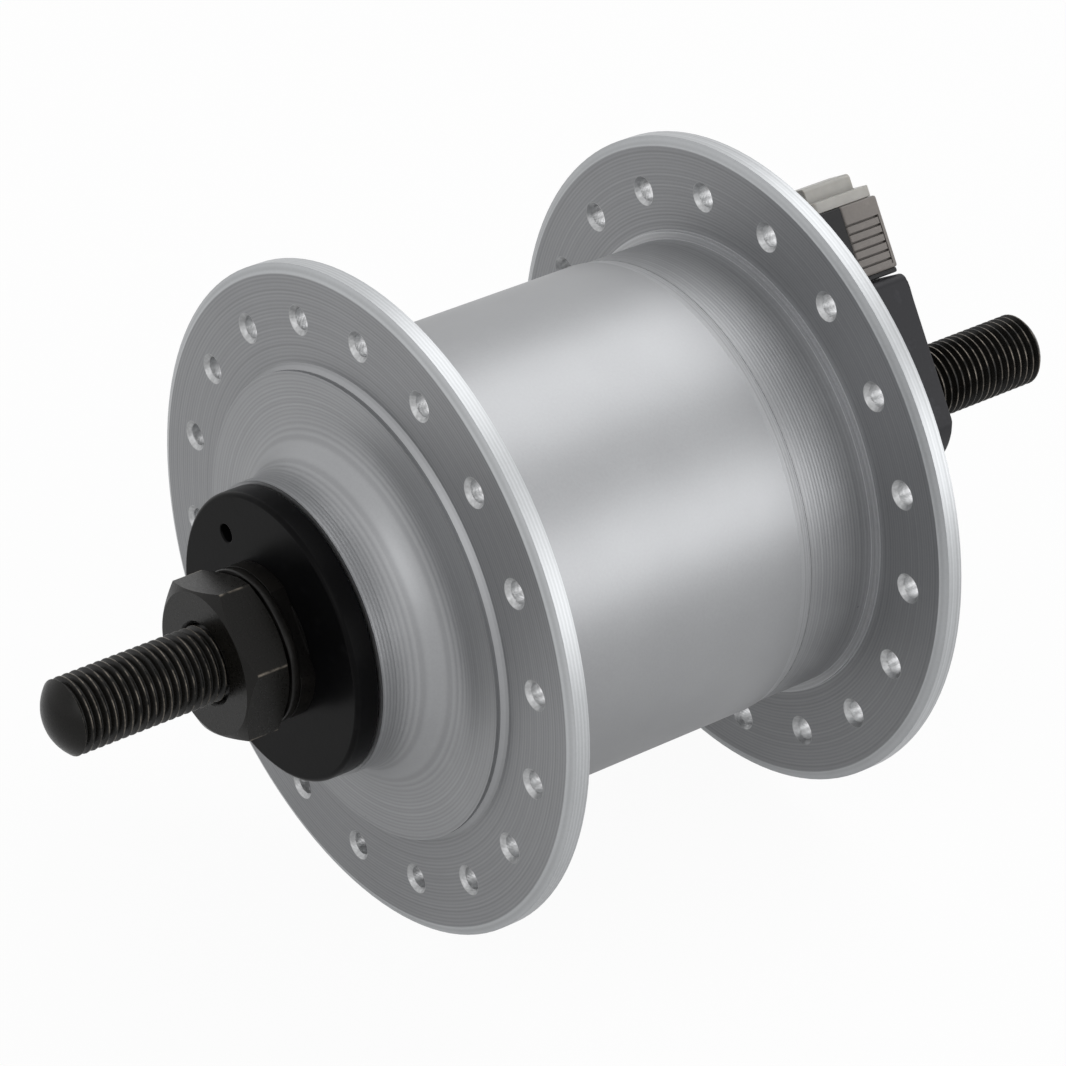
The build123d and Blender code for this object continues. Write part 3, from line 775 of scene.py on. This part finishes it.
@dataclass
class Plug:
    """The plug with its ribbed grey half and the milky lid. Sizes in millimetres."""

    half: float = 6.9
    outer_face: float = -50.0
    cover_deep: float = 5.5
    low: float = 15.0
    top: float = 23.8
    plain: float = 2.4
    ribs: int = 6
    pitch: float = 1.05
    groove: float = 0.28
    groove_deep: float = 0.5
    border: float = 0.55
    edge: float = 0.3
    lid_edge: float = 0.45
    lid_segments: int = 4

    def grooves(self) -> bpy.types.Object:
        """Makes the slits between the ribs.

        Returns:
            One tool that holds the slits of both sides.
        """
        far = self.outer_face + self.cover_deep + 1
        near = self.outer_face + self.border
        tools = []
        for side in (-1, 1):
            inner, outer = sorted((side * (self.half - self.groove_deep), side * (self.half + 1)))
            for rib in range(self.ribs):
                height = self.top - self.plain - rib * self.pitch
                tools.append(block((inner, near, height - self.groove / 2),
                                   (outer, far, height + self.groove / 2)))
            shallow, outside = sorted((side * (self.half - self.groove_deep / 2),
                                       side * (self.half + 1)))
            tools.append(block((shallow, near, self.low + self.pitch / 2),
                               (outside, near + self.groove / 2, self.top - self.plain)))
        whole = tools[0]
        for tool in tools[1:]:
            combine(whole, tool, "UNION")
        return whole

    def ribbed_cover(self) -> None:
        """Makes the grey half: a block with rounded corners and slit sides."""
        cover = block((-self.half, self.outer_face, self.low),
                      (self.half, self.outer_face + self.cover_deep, self.top))
        soften(cover, self.edge)
        combine(cover, self.grooves(), "DIFFERENCE")
        bpy.ops.mesh.customdata_custom_splitnormals_clear()
        bpy.ops.object.shade_smooth_by_angle(angle=SMOOTH_ANGLE)
        cover.data.transform(Matrix.Rotation(ARM_TURN, 4, "Y"))
        settle(cover, "ribbed_cover", "plug", Surface.PLUG_GREY, ("plug_cover",))

    def build(self) -> None:
        """Builds and dresses the plug and its lid."""
        self.ribbed_cover()
        body = merged_copy("plug_body")
        soften(body, self.edge)
        settle(body, "plug_half", "plug", Surface.PLUG_BLACK, ("plug_body",))
        dress(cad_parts["plug_contacts"], Surface.BRASS)
        lid = merged_copy("plug_lid")
        soften(lid, self.lid_edge, self.lid_segments)
        settle(lid, "milky_lid", "plug_lid", Surface.LID, ("plug_lid",))
        log.info("plug built")


@dataclass
class Studio:
    """Camera, lamps, world and floor. Places are in metres."""

    azimuth: float = 233.1
    elevation: float = 31.0
    distance: float = 0.5594
    aim: tuple[float, float, float] = (0.0003, 0.0050, 0.0002)
    lens: float = 166.25
    sensor: float = 36.0
    floor_drop: float = 0.0395
    floor_size: float = 6.0
    floor_seen: float = 0.95
    floor_mirrored: float = 0.35
    world_dim: float = 0.5
    lamps: tuple = (
        ("low_right", (-0.76, -0.46, 0.13), 0.7, 3.0),
        ("high_right", (0.11, -0.46, 0.76), 0.7, 2.6),
        ("front_left", (-0.35, 0.62, 0.45), 0.5, 0.7))

    def camera(self) -> None:
        """Sets the camera where the photograph was taken from."""
        turn, rise = math.radians(self.azimuth), math.radians(self.elevation)
        back = Vector((math.sin(turn) * math.cos(rise), -math.cos(turn) * math.cos(rise),
                       math.sin(rise)))
        data = bpy.data.cameras.new("view")
        data.lens = self.lens
        data.sensor_width = self.sensor
        data.clip_start = 0.01
        camera = bpy.data.objects.new("view", data)
        camera.location = Vector(self.aim) + back * self.distance
        camera.rotation_euler = (-back).to_track_quat("-Z", "Y").to_euler()
        bpy.context.scene.collection.objects.link(camera)
        bpy.context.scene.camera = camera

    def light(self) -> None:
        """Hangs the soft lamps, each turned to the hub."""
        for name, place, size, power in self.lamps:
            data = bpy.data.lights.new(name, "AREA")
            data.shape = "SQUARE"
            data.size = size
            data.energy = power
            lamp = bpy.data.objects.new(name, data)
            lamp.location = place
            lamp.rotation_euler = (-Vector(place)).to_track_quat("-Z", "Y").to_euler()
            bpy.context.scene.collection.objects.link(lamp)

    def surroundings(self) -> None:
        """Makes the white world; the pale floor that keeps a faint shadow is laid separately."""
        world = bpy.data.worlds.new("studio")
        bpy.context.scene.world = world
        world.use_nodes = True
        tree = world.node_tree
        tree.nodes.clear()
        path = add(tree, "ShaderNodeLightPath")
        seen = add(tree, "ShaderNodeMath", {"operation": "MAXIMUM"},
                   {0: path.outputs["Is Camera Ray"], 1: path.outputs["Is Transmission Ray"]})
        shown = add(tree, "ShaderNodeMath", {"operation": "MAXIMUM"},
                    {0: seen.outputs[0], 1: path.outputs["Is Glossy Ray"]})
        dim = add(tree, "ShaderNodeBackground", {"Color": linear("#FFFFFF"), "Strength": self.world_dim})
        white = add(tree, "ShaderNodeBackground", {"Color": linear("#FFFFFF"), "Strength": 1.0})
        both = add(tree, "ShaderNodeMixShader",
                   links={0: shown.outputs[0], 1: dim.outputs[0], 2: white.outputs[0]})
        add(tree, "ShaderNodeOutputWorld", links={"Surface": both.outputs[0]})

    def floor(self) -> None:
        """Lays the floor under the rims."""
        bpy.ops.object.select_all(action="DESELECT")
        bpy.ops.mesh.primitive_plane_add(size=self.floor_size, location=(0, 0, -self.floor_drop))
        plane = bpy.context.object
        plane.name = "floor"
        material = bpy.data.materials.new("pale_floor")
        material.use_nodes = True
        tree = material.node_tree
        tree.nodes.clear()
        path = add(tree, "ShaderNodeLightPath")
        matt = add(tree, "ShaderNodeBsdfDiffuse", {"Color": linear("#F2F2F2")})
        white = add(tree, "ShaderNodeEmission", {"Color": linear("#FFFFFF"), "Strength": 1.0})
        seen = add(tree, "ShaderNodeMath", {"operation": "MULTIPLY", 1: self.floor_seen},
                   {0: path.outputs["Is Camera Ray"]})
        share = add(tree, "ShaderNodeMath", {"operation": "MULTIPLY_ADD", 1: self.floor_mirrored},
                    {0: path.outputs["Is Glossy Ray"], 2: seen.outputs[0]})
        both = add(tree, "ShaderNodeMixShader",
                   links={0: share.outputs[0], 1: matt.outputs[0], 2: white.outputs[0]})
        add(tree, "ShaderNodeOutputMaterial", links={"Surface": both.outputs[0]})
        plane.data.materials.append(material)

    def build(self) -> None:
        """Sets up everything that isn't the hub."""
        self.camera()
        self.light()
        self.surroundings()
        self.floor()
        bpy.context.scene.view_settings.view_transform = "Standard"
        log.info("studio ready")


def main() -> None:
    """Builds the studio and the hub."""
    logging.basicConfig(level=logging.INFO, format="%(name)s: %(message)s")
    for part in (Studio(), HubShell(), Bearings(), AxleUnit(), Plug()):
        part.build()


if __name__ == "__main__":
    main()
